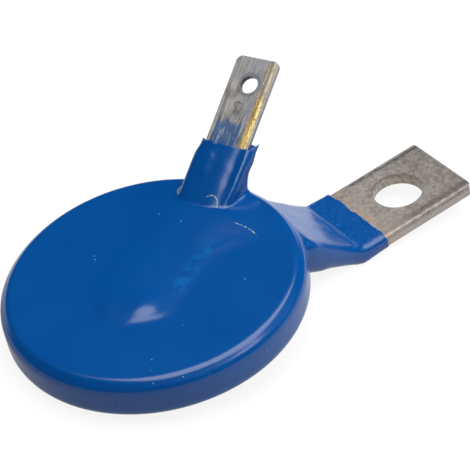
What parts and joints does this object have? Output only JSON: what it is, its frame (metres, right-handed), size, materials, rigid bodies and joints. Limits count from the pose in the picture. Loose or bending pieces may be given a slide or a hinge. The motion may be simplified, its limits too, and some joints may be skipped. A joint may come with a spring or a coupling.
{
  "type": "metal oxide varistor",
  "caption": "Disc varistor dipped in glossy blue coating, with a push-on blade rising from its upper face and a stepped bolt-down lug under it.",
  "frame": {"origin": "centre of the lug's bolt hole, on the face that is clamped down", "axes": "+Z along the bolt hole, away from the seat; +X from the disc out along the lug"},
  "size_m": [0.0659, 0.0392, 0.0227],
  "materials": {
    "blue_coating": "glossy dipped epoxy, deep blue",
    "zinc_oxide": "matt sintered, dark grey",
    "fired_silver": "matt fired silver",
    "solder": "dull grey solder",
    "tinned_brass": "dull tin plate, brass showing along a worn edge",
    "tinned_copper": "dull tin plate over copper"
  },
  "bodies": {
    "root": {"coating": "blue_coating", "ceramic_disc": "zinc_oxide", "upper_electrode": "fired_silver", "lower_electrode": "fired_silver", "upper_solder": "solder", "lower_solder": "solder", "blade_terminal": "tinned_brass", "lug_terminal": "tinned_copper"}
  },
  "joints": []
}
